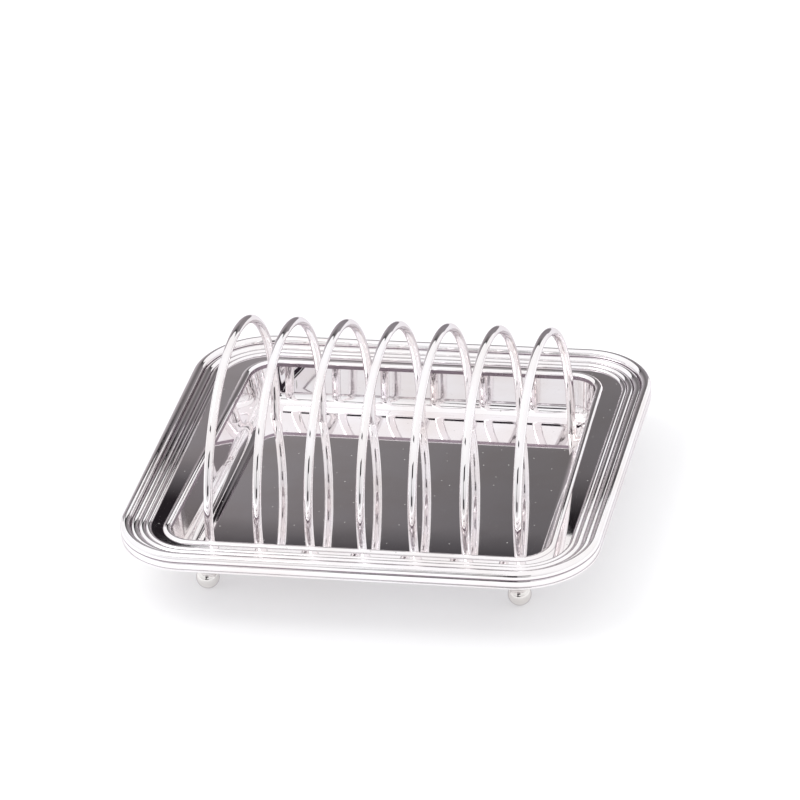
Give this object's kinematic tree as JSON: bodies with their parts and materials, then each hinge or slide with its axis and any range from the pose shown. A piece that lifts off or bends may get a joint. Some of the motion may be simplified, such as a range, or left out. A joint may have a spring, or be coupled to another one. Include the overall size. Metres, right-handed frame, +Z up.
{
  "type": "toast rack",
  "caption": "Wire-hoop toast rack: arched wires hold slices upright in a polished crumb tray with a reeded border and ball feet.",
  "frame": {"origin": "centre of the bounding box at its bottom, where the ball feet meet the table", "axes": "+X along the row of hoops, -Y is the front of the rack, +Z up"},
  "size_m": [0.2106, 0.1926, 0.0899],
  "materials": {
    "tray": "mirror polished silver plate",
    "border": "polished silver plate",
    "hoops": "mirror polished silver plate",
    "washers": "bright plated",
    "feet": "polished silver plate"
  },
  "bodies": {
    "root": {"tray_pan": "tray", "reeded_border": "border", "hoop_1": "hoops", "hoop_2": "hoops", "hoop_3": "hoops", "hoop_4": "hoops", "hoop_5": "hoops", "hoop_6": "hoops", "hoop_7": "hoops", "leg_washers": "washers", "ball_foot_front_left": "feet", "ball_foot_front_right": "feet", "ball_foot_back_left": "feet", "ball_foot_back_right": "feet"}
  },
  "joints": []
}
